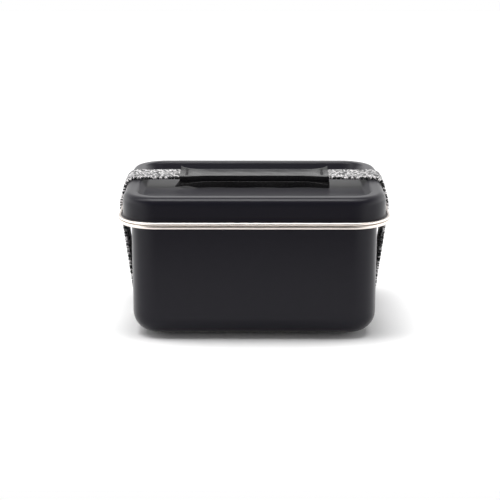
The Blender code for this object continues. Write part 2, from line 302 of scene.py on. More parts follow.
def heather_knit():
    """Slanting stitches of light, grey and black yarn on a UV map in metres, with painted shade in
    the grooves between them.
    """
    net, given, leave = group(
        "heather_knit",
        [
            ("Pitch Across", VALUE, 0.0021),
            ("Pitch Along", VALUE, 0.00098),
            ("Slant", VALUE, 0.9),
            ("Dark Share", VALUE, 0.37),
            ("Light Share", VALUE, 0.37),
            ("Light", COLOUR, (1, 1, 1, 1)),
            ("Middle", COLOUR, (0.5, 0.5, 0.5, 1)),
            ("Dark", COLOUR, (0, 0, 0, 1)),
        ],
        [("Color", COLOUR), ("Height", VALUE)],
    )
    uv = net.add("ShaderNodeSeparateXYZ", {0: net.add("ShaderNodeTexCoord").outputs["UV"]})
    across = net.maths("DIVIDE", uv.outputs[0], given["Pitch Across"])
    column = net.maths("FLOOR", across)
    side = net.maths("SUBTRACT", net.maths("FRACT", across), 0.5)
    odd = net.maths("MODULO", net.maths("ABSOLUTE", column), 2.0)
    lean = net.maths("MULTIPLY", net.maths("MULTIPLY_ADD", odd, 2.0, -1.0), given["Slant"])
    along = net.maths("DIVIDE", uv.outputs[1], given["Pitch Along"])
    along = net.maths("MULTIPLY_ADD", side, lean, along)
    row = net.maths("FLOOR", along)
    run = net.maths("SUBTRACT", net.maths("FRACT", along), 0.5)
    cell = net.add("ShaderNodeCombineXYZ", {0: column, 1: row})
    chance = net.add("ShaderNodeTexWhiteNoise", {"Vector": cell.outputs[0]}, noise_dimensions="2D")
    pick = chance.outputs["Value"]
    side_square, run_square = (
        net.maths("POWER", net.maths("ABSOLUTE", v), 2.0) for v in (side, run)
    )
    round_off = net.maths("ADD", side_square, run_square)
    dome = net.maths("SUBTRACT", 1.0, net.maths("MULTIPLY", round_off, DOME_FALL), clamp=True)
    is_dark = net.maths("LESS_THAN", pick, given["Dark Share"])
    is_light = net.maths("GREATER_THAN", pick, net.maths("SUBTRACT", 1.0, given["Light Share"]))
    base = net.blend(is_light, given["Middle"], given["Light"])
    base = net.blend(is_dark, base, given["Dark"])
    # Painted shade: a stitch's colour darkens towards the black yarn in the groove round it
    raised = net.span(dome, *GROOVE_SHADE_SPAN)
    groove = net.maths("MULTIPLY_ADD", raised, 1 - GROOVE_SHADE_KEEP, GROOVE_SHADE_KEEP)
    net.put(leave, "Color", net.blend(groove, given["Dark"], base))
    net.put(leave, "Height", dome)
    return net.tree


CREASE_DULLNESS = 0.12  # how much rougher leather is between its pebbles
GRAIN_SHARE = 0.6  # weight of the pebbles, and of the wide creases, in the grain's height
GRAIN_NUDGE = 0.0004  # how far the pebbles are pushed out of a regular pattern
PEBBLE_EDGE = 0.22  # distance from a pebble's edge at which it is fully raised


def hide_grain():
    """Pebbled leather grain with fine creases, as height and roughness."""
    net, given, leave = group(
        "hide_grain",
        [("Pebble", VALUE, 1400), ("Roughness", VALUE, 0.4), ("Spread", VALUE, 0.1)],
        [("Roughness", VALUE), ("Height", VALUE), ("Drift", VALUE)],
    )
    place = net.add("ShaderNodeTexCoord").outputs["Object"]
    bend = net.add("ShaderNodeTexNoise", {"Vector": place, "Scale": 500.0, "Detail": 2.0})
    nudged = net.add("ShaderNodeVectorMath", operation="MULTIPLY_ADD")
    net.put(nudged, 0, bend.outputs["Color"])
    net.put(nudged, 1, (GRAIN_NUDGE, GRAIN_NUDGE, GRAIN_NUDGE))
    net.put(nudged, 2, place)
    cells = net.add("ShaderNodeTexVoronoi", {"Vector": nudged.outputs[0], "Scale": given["Pebble"]},
                    feature="DISTANCE_TO_EDGE")
    pebble = net.span(cells.outputs["Distance"], 0.0, PEBBLE_EDGE)
    wide = net.add("ShaderNodeTexNoise", {"Vector": place, "Scale": 90.0, "Detail": 5.0})
    rough = drifting(net, wide.outputs["Fac"], given)
    duller = net.maths("MULTIPLY", net.maths("SUBTRACT", 1.0, pebble), CREASE_DULLNESS)
    net.put(leave, "Roughness", net.maths("ADD", rough, duller))
    creases = net.maths("MULTIPLY", wide.outputs["Fac"], GRAIN_SHARE)
    net.put(leave, "Height", net.maths("MULTIPLY_ADD", pebble, GRAIN_SHARE, creases))
    net.put(leave, "Drift", wide.outputs["Fac"])
    return net.tree


SHARED = {}


def shared(maker):
    """Each shared group or tree is built once."""
    if maker.__name__ not in SHARED:
        SHARED[maker.__name__] = maker()
    return SHARED[maker.__name__]


class Finish:
    """One material: a Principled shader with shared groups placed in front of it."""

    def __init__(self, name, **constants):
        self.material = bpy.data.materials.new(name)
        self.material.use_nodes = True
        self.net = Net(self.material.node_tree)
        self.shader = self.material.node_tree.nodes["Principled BSDF"]
        for key, value in constants.items():
            self.net.put(self.shader, key.replace("_", " "), value)

    def place(self, maker, **values):
        node = self.net.add("ShaderNodeGroup", node_tree=shared(maker))
        for key, value in values.items():
            self.net.put(node, key.replace("_", " "), value)
        return node.outputs

    def tint(self, mask, low, high):
        """Base colour from low to high by a mask."""
        self.net.put(self.shader, "Base Color", self.net.blend(mask, rgba(low), rgba(high)))

    def rough(self, roughness):
        self.net.put(self.shader, "Roughness", roughness)

    def bump(self, height, distance, strength):
        inputs = {"Height": height, "Distance": distance, "Strength": strength}
        self.net.put(self.shader, "Normal", self.net.add("ShaderNodeBump", inputs).outputs[0])


def rgba(triple):
    return (*triple, 1.0)


def toned(triple, factor):
    return tuple(factor * c for c in triple)


def looks():
    return bpy.context.scene.lunch_box_looks


def coat_finish():
    looked = looks()
    made = Finish(
        "satin_black_coat", IOR=1.25, Specular_IOR_Level=0.5, Sheen_Weight=0.15, Sheen_Roughness=0.4
    )
    spray = made.place(
        sprayed_surface, Grain=1500.0, Drift=30.0, Roughness=looked.coat_rough, Spread=0.01
    )
    worn = made.place(rubbed_edges, Start=0.54, Full=0.66)
    made.tint(worn["Mask"], looked.coat, looked.coat_worn)
    made.rough(spray["Roughness"])
    made.bump(spray["Height"], 0.000004, 0.5)
    return made.material


def steel_finish(name, stretch, rough, spread, depth):
    steel = looks().steel
    made = Finish(name, Metallic=1.0)
    lines = made.place(brushed_lines, Stretch=stretch, Roughness=rough, Spread=spread)
    made.tint(lines["Height"], toned(steel, 0.94), steel)
    made.rough(lines["Roughness"])
    made.bump(lines["Height"], depth, 0.4)
    return made.material


def seal_finish():
    seal = looks().seal
    made = Finish("grey_silicone_seal", IOR=1.41)
    spray = made.place(sprayed_surface, Grain=2600.0, Drift=60.0, Roughness=0.52, Spread=0.06)
    made.tint(spray["Drift"], toned(seal, 0.88), seal)
    made.rough(spray["Roughness"])
    made.bump(spray["Height"], 0.00003, 0.5)
    return made.material


def knit_finish():
    band = bpy.context.scene.lunch_box_band
    made = Finish("heather_elastic", Roughness=0.85, Specular_IOR_Level=0.25, Sheen_Weight=0.25,
                  Sheen_Roughness=0.5)
    knit = made.place(
        heather_knit, Light=rgba(band.light), Middle=rgba(band.middle), Dark=rgba(band.dark)
    )
    made.net.put(made.shader, "Base Color", knit["Color"])
    made.bump(knit["Height"], 0.00025, 0.8)
    return made.material


PALE_LOOP_SHARE = 0.38  # share of the edge loops that are light yarn


def loop_finish():
    band = bpy.context.scene.lunch_box_band
    made = Finish("elastic_edge_yarn", Specular_IOR_Level=0.25, Sheen_Weight=0.2)
    yarn = made.net.add("ShaderNodeAttribute", attribute_name="yarn").outputs["Fac"]
    pale = made.net.maths("GREATER_THAN", yarn, 1 - PALE_LOOP_SHARE)
    fuzz = made.place(sprayed_surface, Grain=5000.0, Drift=900.0, Roughness=0.8, Spread=0.1)
    made.tint(pale, band.dark, band.light)
    made.rough(fuzz["Roughness"])
    made.bump(fuzz["Height"], 0.00006, 0.6)
    return made.material


def leather_finish():
    leather = looks().leather
    made = Finish("black_leather_skin", IOR=1.58)
    grain = made.place(hide_grain, Pebble=1500.0, Roughness=0.23, Spread=0.05)
    made.tint(grain["Drift"], leather, toned(leather, 1.5))
    made.rough(grain["Roughness"])
    made.bump(grain["Height"], 0.00002, 0.6)
    return made.material


def raw_edge_finish():
    raw = looks().raw_edge
    made = Finish("raw_leather_edge", Specular_IOR_Level=0.3)
    fibre = made.place(sprayed_surface, Grain=3500.0, Drift=400.0, Roughness=0.75, Spread=0.1)
    made.tint(fibre["Drift"], toned(raw, 0.45), raw)
    made.rough(fibre["Roughness"])
    made.bump(fibre["Height"], 0.00012, 0.8)
    return made.material


def thread_finish():
    thread = looks().thread
    made = Finish("waxed_black_thread", IOR=1.45)
    lines = made.place(brushed_lines, Stretch=(2600.0, 2600.0, 7000.0), Roughness=0.45, Spread=0.12)
    made.tint(lines["Height"], thread, toned(thread, 2.2))
    made.rough(lines["Roughness"])
    made.bump(lines["Height"], 0.00008, 0.8)
    return made.material


def rim_steel_finish():
    return steel_finish(
        "satin_steel_rim", (40.0, 40.0, 1500.0), looks().steel_rough, 0.03, 0.000002
    )


def inner_steel_finish():
    return steel_finish("brushed_steel_inside", (25.0, 25.0, 1800.0), 0.34, 0.10, 0.00002)


FINISHES = {}


def finish_named(name):
    """The materials are made once, when first asked for."""
    makers = {
        "coat": coat_finish,
        "rim_steel": rim_steel_finish,
        "inner_steel": inner_steel_finish,
        "seal": seal_finish,
        "knit": knit_finish,
        "loops": loop_finish,
        "leather": leather_finish,
        "raw_edge": raw_edge_finish,
        "thread": thread_finish,
    }
    if name not in FINISHES:
        FINISHES[name] = makers[name]()
    return FINISHES[name]


# ---- Mesh helpers ----


def arc(centre, radius, start, end, steps):
    """Points of an arc between two angles in degrees."""
    angles = [math.radians(start + (end - start) * i / steps) for i in range(steps + 1)]
    return [(centre[0] + radius * math.cos(a), centre[1] + radius * math.sin(a)) for a in angles]


def smooth(value, low, high):
    """0 below low, 1 above high, and an S between them."""
    t = min(max((value - low) / (high - low), 0.0), 1.0)
    return t * t * (3 - 2 * t)


SHARP_ANGLE = 40


def mesh_from(name, shape, finishes):
    """Turns a bmesh into an object at the origin with the named finishes."""
    bmesh.ops.recalc_face_normals(shape, faces=shape.faces)
    mesh = bpy.data.meshes.new(name)
    shape.to_mesh(mesh)
    shape.free()
    made = bpy.data.objects.new(name, mesh)
    bpy.context.scene.collection.objects.link(made)
    for each in finishes:
        mesh.materials.append(finish_named(each))
    mesh.shade_smooth()
    mesh.set_sharp_from_angle(angle=math.radians(SHARP_ANGLE))
    return made


def place(made, body, slot, *nodes):
    """Rides a piece on one body and hides the frame's nodes that it stands in for."""
    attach(made, body)
    if nodes:
        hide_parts(*nodes)
    return made


CORNER_STEPS = 24
STRAIGHT_STEPS = 10
ROUND_STEPS = 14  # steps in a large round of a pan, and of the band over it
SMALL_STEPS = 8  # steps in a small one
NECK_STEPS = 6  # steps in the round under the body's flange
SUPPORT = 0.0008  # distance from a round to the extra points that hold it
LEAST_CORNER = 0.0005


def outline(inset):
    """The rim's plan outline moved inwards, counter-clockwise, with points along its straights."""
    sizes = bpy.context.scene.lunch_box_sizes
    half_x, half_y = HALF_X - inset, HALF_Y - inset
    radius = max(sizes.rim_corner - inset, LEAST_CORNER)
    corners = []
    for side_x, side_y, turn in ((1, 1, 0), (-1, 1, 90), (-1, -1, 180), (1, -1, 270)):
        centre = (side_x * (half_x - radius), side_y * (half_y - radius))
        corners.append(arc(centre, radius, turn, turn + 90, CORNER_STEPS))
    points = []
    for corner, following in zip(corners, corners[1:] + corners[:1]):
        points += corner
        start, end = Vector(corner[-1]), Vector(following[0])
        length = (end - start).length
        stops = [SUPPORT / length] + [i / STRAIGHT_STEPS for i in range(1, STRAIGHT_STEPS)]
        stops.append(1 - SUPPORT / length)
        points += [tuple(start.lerp(end, stop)) for stop in stops]
    return points


def supported(profile):
    """A profile of (inset, z) with points added close to the ends of its long straights."""
    points = [profile[0]]
    for start, end in zip(profile, profile[1:]):
        a, b = Vector(start), Vector(end)
        length = (b - a).length
        if length > 6 * SUPPORT:
            points += [tuple(a.lerp(b, SUPPORT / length)), tuple(a.lerp(b, 1 - SUPPORT / length))]
        points.append(end)
    return points


def swept(name, profile, finishes, closed=False, inside_from=None):
    """A profile of (inset, z) carried round the outline.

    Faces past inside_from take the second finish. An open profile is closed by a panel at each end,
    the first in the first finish and the last in the second.
    """
    shape = bmesh.new()
    rings = [[shape.verts.new((x, y, z)) for x, y in outline(inset)] for inset, z in profile]
    pairs = list(zip(rings, rings[1:]))
    if closed:
        pairs.append((rings[-1], rings[0]))
    else:
        for ring, material_index in ((rings[0], 0), (rings[-1], 1)):
            shape.faces.new(ring).material_index = material_index
    for k, (ring, following) in enumerate(pairs):
        for i in range(len(ring)):
            face = shape.faces.new((ring[i - 1], ring[i], following[i], following[i - 1]))
            face.material_index = int(inside_from is not None and k >= inside_from)
    return mesh_from(name, shape, finishes)


# ---- Geometry Nodes ----


def geometry_tree(name, inputs):
    """A geometry tree with named inputs (name, kind, default)."""
    tree = bpy.data.node_groups.new(name, "GeometryNodeTree")
    tree.interface.new_socket("Geometry", in_out="INPUT", socket_type="NodeSocketGeometry")
    tree.interface.new_socket("Geometry", in_out="OUTPUT", socket_type="NodeSocketGeometry")
    for label, kind, default in inputs:
        made = tree.interface.new_socket(label, in_out="INPUT", socket_type=kind)
        if default is not None:
            made.default_value = default
    net = Net(tree)
    return net, net.add("NodeGroupInput").outputs, net.add("NodeGroupOutput")


def applied(obj, tree, values):
    """Runs a tree on an object with its inputs set, and keeps the result as a plain mesh."""
    modifier = obj.modifiers.new("shape", "NODES")
    modifier.node_group = tree
    for item in tree.interface.items_tree:
        if item.item_type == "SOCKET" and item.in_out == "INPUT" and item.name in values:
            modifier[item.identifier] = values[item.name]
    bpy.context.view_layer.update()
    graph = bpy.context.evaluated_depsgraph_get()
    mesh = bpy.data.meshes.new_from_object(obj.evaluated_get(graph), depsgraph=graph)
    obj.modifiers.remove(modifier)
    old = obj.data
    obj.data = mesh
    mesh.name = obj.name
    if old.users == 0:
        bpy.data.meshes.remove(old)
    return obj


def finish_geometry(net, leave, geometry, material):
    """Ends a tree: real geometry, shaded smooth, in one material."""
    real = net.add("GeometryNodeRealizeInstances", {0: geometry}).outputs[0]
    smoothed = net.add("GeometryNodeSetShadeSmooth", {0: real}).outputs[0]
    made = net.add("GeometryNodeSetMaterial", {0: smoothed, "Material": material})
    net.put(leave, 0, made.outputs[0])
    return net.tree


def spaced_along(net, line, pitch):
    """The line of a node, cut into equal steps."""
    inputs = {"Curve": line.outputs[0], "Length": pitch}
    return net.add("GeometryNodeResampleCurve", inputs, mode="LENGTH")


def turned_towards(net, rotation, vector):
    """The rotation of a node, turned about its own Z until its Y points along a vector."""
    inputs = {"Rotation": rotation.outputs[0], "Vector": vector}
    kind = "FunctionNodeAlignRotationToVector"
    return net.add(kind, inputs, axis="Y", pivot_axis="Z")


def thread_along(net, line, thickness):
    """A closed tube of thread along the line of a node."""
    half = net.maths("MULTIPLY", thickness, 0.5)
    ring = net.add("GeometryNodeCurvePrimitiveCircle", {"Resolution": 8, "Radius": half})
    inputs = {"Curve": line.outputs[0], "Profile Curve": ring.outputs[0], "Fill Caps": True}
    return net.add("GeometryNodeCurveToMesh", inputs)


def rolled_edge_tree():
    """A rounded rectangle with a round bead along it."""
    net, given, leave = geometry_tree(
        "rolled_edge",
        [
            ("Width", VALUE, 0.18),
            ("Depth", VALUE, 0.138),
            ("Corner", VALUE, 0.027),
            ("Bead Radius", VALUE, 0.0011),
            ("Roundness", VALUE, 0.78),
            ("Height", VALUE, 0.08),
            ("Squash", VALUE, 1.0),
            ("Material", "NodeSocketMaterial", None),
        ],
    )
    full = net.maths("MULTIPLY", given["Bead Radius"], 2.0)
    across = net.maths("SUBTRACT", given["Width"], full)
    along = net.maths("SUBTRACT", given["Depth"], full)
    plan = net.add("GeometryNodeCurvePrimitiveQuadrilateral", {"Width": across, "Height": along})
    corner = net.maths("SUBTRACT", given["Corner"], given["Bead Radius"])
    inputs = {"Curve": plan.outputs[0], "Count": 32, "Radius": corner}
    rounded = net.add("GeometryNodeFilletCurve", inputs, mode="POLY")
    square = net.add("GeometryNodeCurvePrimitiveQuadrilateral", {"Width": full, "Height": full})
    soft = net.maths("MULTIPLY", given["Bead Radius"], given["Roundness"])
    inputs = {"Curve": square.outputs[0], "Count": 7, "Radius": soft}
    bead = net.add("GeometryNodeFilletCurve", inputs, mode="POLY")
    inputs = {"Curve": rounded.outputs[0], "Profile Curve": bead.outputs[0]}
    ring = net.add("GeometryNodeCurveToMesh", inputs)
    raised = net.add("GeometryNodeTransform", {"Geometry": ring.outputs[0]})
    lift = net.add("ShaderNodeCombineXYZ", {2: given["Height"]})
    flat = net.add("ShaderNodeCombineXYZ", {0: 1.0, 1: 1.0, 2: given["Squash"]})
    net.put(raised, "Translation", lift.outputs[0])
    net.put(raised, "Scale", flat.outputs[0])
    return finish_geometry(net, leave, raised.outputs[0], given["Material"])


LOOP_SIZES = (0.75, 1.2)  # least and greatest size of a loop, as shares of its stated one
LOOP_STRETCH = (1.9, 0.8, 0.82)  # a loop's x, y and z in radii, its z lying along the band's edge
LOOP_LEAN = 0.42  # how far neighbouring loops lean to opposite sides, in radians


def edge_loops_tree():
    """Adds a row of yarn loops along the edges marked selvedge, keeping the band they belong to."""
    net, given, leave = geometry_tree(
        "edge_loops",
        [
            ("Pitch", VALUE, 0.0009),
            ("Loop Radius", VALUE, 0.0005),
            ("Seed", "NodeSocketInt", 7),
            ("Loop Material", "NodeSocketMaterial", None),
        ],
    )
    marked = net.add("GeometryNodeInputNamedAttribute", {"Name": "selvedge"}, data_type="BOOLEAN")
    line = net.add("GeometryNodeMeshToCurve", {"Mesh": given["Geometry"]})
    net.put(line, "Selection", marked.outputs[0])
    spaced = spaced_along(net, line, given["Pitch"])
    points = net.add("GeometryNodeCurveToPoints", {"Curve": spaced.outputs[0]}, mode="EVALUATED")
    ball = {"Segments": 8, "Rings": 5, "Radius": given["Loop Radius"]}
    loop = net.add("GeometryNodeMeshUVSphere", ball)
    number = net.add("GeometryNodeInputIndex").outputs[0]
    odd = net.maths("MULTIPLY_ADD", net.maths("MODULO", number, 2.0), 2.0, -1.0)
    wobble = net.add(
        "FunctionNodeRandomValue", {"ID": number, "Seed": given["Seed"]}, data_type="FLOAT"
    )
    for socket, limit in zip((2, 3), LOOP_SIZES):
        net.put(wobble, socket, limit)
    tall = net.add("ShaderNodeCombineXYZ", enumerate(LOOP_STRETCH))
    grown = net.add("ShaderNodeVectorMath", operation="SCALE")
    net.put(grown, 0, tall.outputs[0])
    net.put(grown, "Scale", wobble.outputs[1])
    along = net.add(
        "FunctionNodeAlignRotationToVector", {"Vector": points.outputs["Tangent"]}, axis="Z"
    )
    turn = turned_towards(net, along, (0, 1, 0))
    tilt = net.add("FunctionNodeEulerToRotation")
    lean = net.add("ShaderNodeCombineXYZ", {1: net.maths("MULTIPLY", odd, LOOP_LEAN)})
    net.put(tilt, 0, lean.outputs[0])
    posed = net.add(
        "FunctionNodeRotateRotation",
        {0: turn.outputs[0], 1: tilt.outputs[0]},
        rotation_space="LOCAL",
    )
    copies = net.add(
        "GeometryNodeInstanceOnPoints", {"Points": points.outputs[0], "Instance": loop.outputs[0]}
    )
    net.put(copies, "Rotation", posed.outputs[0])
    net.put(copies, "Scale", grown.outputs[0])
    chance = net.add(
        "FunctionNodeRandomValue", {"ID": number, "Seed": given["Seed"]}, data_type="FLOAT"
    )
    keep = "GeometryNodeStoreNamedAttribute"
    inputs = {"Geometry": copies.outputs[0], "Name": "yarn"}
    stored = net.add(keep, inputs, data_type="FLOAT", domain="INSTANCE")
    net.put(stored, "Value", chance.outputs[1])
    inputs = {"Geometry": stored.outputs[0], "Name": "is_loop", "Value": True}
    flagged = net.add(keep, inputs, data_type="BOOLEAN", domain="INSTANCE")
    both = net.add("GeometryNodeJoinGeometry")
    net.tree.links.new(flagged.outputs[0], both.inputs[0])
    net.tree.links.new(given["Geometry"], both.inputs[0])
    real = net.add("GeometryNodeRealizeInstances", {0: both.outputs[0]}).outputs[0]
    smoothed = net.add("GeometryNodeSetShadeSmooth", {0: real}).outputs[0]
    is_loop = net.add("GeometryNodeInputNamedAttribute", {"Name": "is_loop"}, data_type="BOOLEAN")
    dressed = net.add("GeometryNodeSetMaterial", {0: smoothed, "Material": given["Loop Material"]})
    net.put(dressed, "Selection", is_loop.outputs[0])
    net.put(leave, 0, dressed.outputs[0])
    return net.tree


STITCH_RISE = 1.1  # height of the point a stitch bows towards, in thicknesses of its thread


def stitch_row_tree():
    """Short rounded stitches along the object's line, each dipping into the leather at its ends."""
    net, given, leave = geometry_tree(
        "stitch_row",
        [
            ("Pitch", VALUE, 0.003),
            ("Length", VALUE, 0.0024),
            ("Thread", VALUE, 0.0005),
            ("Material", "NodeSocketMaterial", None),
        ],
    )
    line = net.add("GeometryNodeMeshToCurve", {"Mesh": given["Geometry"]})
    spaced = spaced_along(net, line, given["Pitch"])
    points = net.add("GeometryNodeCurveToPoints", {"Curve": spaced.outputs[0]}, mode="EVALUATED")
    half = net.maths("MULTIPLY", given["Length"], 0.5)
    start = net.add("ShaderNodeCombineXYZ", {2: net.maths("MULTIPLY", half, -1.0)})
    crest = net.add(
        "ShaderNodeCombineXYZ", {1: net.maths("MULTIPLY", given["Thread"], STITCH_RISE)}
    )
    end = net.add("ShaderNodeCombineXYZ", {2: half})
    bow = net.add("GeometryNodeCurveQuadraticBezier", {"Resolution": 6})
    net.put(bow, "Start", start.outputs[0])
    net.put(bow, "Middle", crest.outputs[0])
    net.put(bow, "End", end.outputs[0])
    tube = thread_along(net, bow, given["Thread"])
    turn = net.add(
        "FunctionNodeAlignRotationToVector", {"Vector": points.outputs["Tangent"]}, axis="Z"
    )
    outwards = turned_towards(net, turn, (0, -1, 0))
    copies = net.add(
        "GeometryNodeInstanceOnPoints", {"Points": points.outputs[0], "Instance": tube.outputs[0]}
    )
    net.put(copies, "Rotation", outwards.outputs[0])
    return finish_geometry(net, leave, copies.outputs[0], given["Material"])


def bar_tack_tree():
    """Thread passing to and fro across the object's line."""
    net, given, leave = geometry_tree(
        "bar_tack",
        [
            ("Pitch", VALUE, 0.0004),
            ("Width", VALUE, 0.0014),
            ("Thread", VALUE, 0.0005),
            ("Material", "NodeSocketMaterial", None),
        ],
    )
    line = net.add("GeometryNodeMeshToCurve", {"Mesh": given["Geometry"]})
    spaced = spaced_along(net, line, given["Pitch"])
    number = net.add("GeometryNodeInputIndex").outputs[0]
    odd = net.maths("SUBTRACT", net.maths("MODULO", number, 2.0), 0.5)
    shift = net.add("ShaderNodeCombineXYZ", {0: net.maths("MULTIPLY", odd, given["Width"])})
    zigzag = net.add("GeometryNodeSetPosition", {"Geometry": spaced.outputs[0]})
    net.put(zigzag, "Offset", shift.outputs[0])
    tube = thread_along(net, zigzag, given["Thread"])
    return finish_geometry(net, leave, tube.outputs[0], given["Material"])


def line_object(name, points):
    """An object that holds one open line, for a tree to work along."""
    mesh = bpy.data.meshes.new(name)
    mesh.from_pydata(points, [(i, i + 1) for i in range(len(points) - 1)], [])
    made = bpy.data.objects.new(name, mesh)
    bpy.context.scene.collection.objects.link(made)
    return made


# ---- Steel pans, rims and seal ----


SHEET_END = 1.4  # where a pan's sheet ends in its rolled edge, in bead radii from the rim's edge
SKIRT_ROUND = 0.0004  # bend between the lid's wall and its flange


class LUNCHBOX_OT_body(bpy.types.Operator):
    """Builds the deep body: coated outside, bare steel inside"""

    bl_idname = "lunchbox.body"
    bl_label = "Body"

    def execute(self, context):
        sizes = context.scene.lunch_box_sizes
        sheet, inset = sizes.sheet, sizes.wall_inset
        mouth, base = sizes.mouth_radius, sizes.base_radius
        edge = SHEET_END * BEAD_RADIUS
        under, top = BODY_BEAD - sheet / 2, BODY_BEAD + sheet / 2
        foot = (inset + base, BASE_LEVEL + base)
        neck = (inset - mouth, under - mouth)
        outside = [(inset + base + SUPPORT, BASE_LEVEL)]
        outside += arc(foot, base, 270, 180, ROUND_STEPS)
        outside += arc(neck, mouth, 0, 90, NECK_STEPS) + [(edge, under)]
        outside = supported(outside)
        inside = [(edge, top)] + arc(neck, mouth + sheet, 90, 0, NECK_STEPS)
        inside += arc(foot, base - sheet, 180, 270, ROUND_STEPS)
        inside += [(inset + base + SUPPORT, BASE_LEVEL + sheet)]
        inside = supported(inside)
        made = swept(
            "body_pan", outside + inside, ("coat", "inner_steel"), inside_from=len(outside)
        )
        place(made, "box", "black_coat", "body_shell")
        return {"FINISHED"}


class LUNCHBOX_OT_lid(bpy.types.Operator):
    """Builds the lid with its sunken top: coated outside, bare steel underneath"""

    bl_idname = "lunchbox.lid"
    bl_label = "Lid"

    def execute(self, context):
        sizes = context.scene.lunch_box_sizes
        sheet, inset, round_edge = sizes.sheet, sizes.lid_inset, sizes.lid_edge
        edge = SHEET_END * BEAD_RADIUS
        under, top = LID_BEAD - sheet / 2, LID_BEAD + sheet / 2
        shoulder = (inset + round_edge, LID_TOP - round_edge)
        brim_radius, foot_radius = sizes.border_radius, sizes.recess_foot
        floor = LID_TOP - sizes.recess
        lean = math.degrees(math.atan2(sizes.recess_run, sizes.recess))
        foot = (inset + sizes.border + sizes.recess_run, floor)
        turn = math.radians(90 - lean) / 2
        brim = (inset + sizes.border - brim_radius * math.tan(turn), LID_TOP - brim_radius)
        reach = foot_radius * math.tan(turn)
        foot_centre = (foot[0] + reach, floor + foot_radius)
        outside = [(foot[0] + reach + SUPPORT, floor)]
        outside += arc(foot_centre, foot_radius, 270, 180 + lean, SMALL_STEPS)
        outside += arc(brim, brim_radius, lean, 90, SMALL_STEPS)
        outside += arc(shoulder, round_edge, 90, 180, ROUND_STEPS)
        outside += [(inset, top + SKIRT_ROUND), (inset - SKIRT_ROUND, top), (edge, top)]
        outside = supported(outside)
        inside = [(edge, under), (inset + sheet, under)]
        inside += arc(shoulder, round_edge - sheet, 180, 90, ROUND_STEPS)
        inside += arc(brim, brim_radius - sheet, 90, lean, SMALL_STEPS)
        inside += arc(foot_centre, foot_radius + sheet, 180 + lean, 270, SMALL_STEPS)
        inside += [(foot[0] + reach + SUPPORT, floor - sheet)]
        inside = supported(inside)
        made = swept("lid_pan", outside + inside, ("coat", "inner_steel"), inside_from=len(outside))
        place(made, "lid", "black_coat", "lid_shell")
        return {"FINISHED"}


class LUNCHBOX_OT_rims(bpy.types.Operator):
    """Builds the two rolled steel edges"""

    bl_idname = "lunchbox.rims"
    bl_label = "Rims"

    def execute(self, context):
        tree = rolled_edge_tree()
        sizes = context.scene.lunch_box_sizes
        drop = BEAD_RADIUS * (1 - sizes.lid_squash)
        for name, body, height, squash, node in (
            ("body_rolled_edge", "box", BODY_BEAD, 1.0, "body_rim"),
            ("lid_rolled_edge", "lid", LID_BEAD - drop, sizes.lid_squash, "lid_rim"),
        ):
            made = line_object(name, [(0, 0, 0)])
            values = {
                "Width": 2 * HALF_X,
                "Depth": 2 * HALF_Y,
                "Corner": sizes.rim_corner,
                "Bead Radius": BEAD_RADIUS,
                "Height": height,
                "Squash": squash,
                "Material": finish_named("rim_steel"),
            }
            applied(made, tree, values)
            place(made, body, "bare_steel", node)
        return {"FINISHED"}


SEAL_WALL = 0.0014  # thickness of the seal's walls and its web
SEAL_SOFT = 0.0004  # bevel along the seal's edges
SEAL_SLACK = 0.0004  # clearance between the seal's plug and the body's wall
SEAL_LIPS = 3
LIP_REACH = 0.7  # share of its size by which a lip stands out when the body's wall presses it


class LUNCHBOX_OT_seal(bpy.types.Operator):
    """Builds the silicone seal with its soft lips"""

    bl_idname = "lunchbox.seal"
    bl_label = "Seal"

    def execute(self, context):
        sizes = context.scene.lunch_box_sizes
        lip, wall, soft = sizes.seal_lip, SEAL_WALL, SEAL_SOFT
        outer = HALF_X - SEAL_HIGH[0]
        low, high = SEAL_LOW[2], SEAL_HIGH[2]
        web_under = BODY_BEAD + sizes.sheet / 2 + GAP
        web_top = web_under + wall
        plug = sizes.wall_inset + sizes.sheet + SEAL_SLACK
        outside = [(outer, web_under), (outer, high - soft), (outer + soft, high)]
        outside += [
            (outer + wall - soft, high), (outer + wall, high - soft), (outer + wall, web_top + soft)
        ]
        outside += [
            (outer + wall + soft, web_top),
            (plug + wall - soft, web_top),
            (plug + wall, web_top - soft),
        ]
        outside += [
            (plug + wall, low + soft),
            (plug + wall - soft, low),
            (plug + soft, low),
            (plug, low + soft),
        ]
        span = web_under - low - 2 * soft
        for i in range(SEAL_LIPS):
            z = low + soft + span * i / SEAL_LIPS
            for out, up in ((0, 0.1), (LIP_REACH, 0.5), (0, 0.8)):
                outside.append((plug - lip * out, z + up * span / SEAL_LIPS))
        outside += [(plug, web_under)]
        made = swept("seal_ring", outside, ("seal",), closed=True)
        place(made, "lid", "grey_silicone", "lid_gasket")
        return {"FINISHED"}


# ---- Elastic band ----


def shared_normal(start, end):
    """Angle of the outward normal where a taut band leaves one circle for the next."""
    (x1, z1, r1), (x2, z2, r2) = start, end
    heading = math.atan2(z2 - z1, x2 - x1)
    lean = math.asin((r1 - r2) / math.hypot(x2 - x1, z2 - z1))
    return math.degrees(heading + lean) - 90


def route_arc(circle, start, end, steps):
    """Stations (x, z, normal) along an arc of a circle (x, z, radius)."""
    x, z, radius = circle
    angles = [start + (end - start) * i / steps for i in range(steps + 1)]
    return [(px, pz, a) for (px, pz), a in zip(arc((x, z), radius, start, end, steps), angles)]


def filled(stations, step):
    """Stations (x, z, normal) with more of them along each straight."""
    made = [stations[0]]
    for start, end in zip(stations, stations[1:]):
        length = math.hypot(end[0] - start[0], end[1] - start[1])
        count = max(1, round(length / step))
        for i in range(1, count + 1):
            made.append(tuple(a + (b - a) * i / count for a, b in zip(start, end)))
    return made


def inverse_smooth(value):
    """The t whose smooth step is value."""
    return 0.5 - math.sin(math.asin(1 - 2 * value) / 3)


JOINT_STEPS = 24  # stations where the lid parts from the box


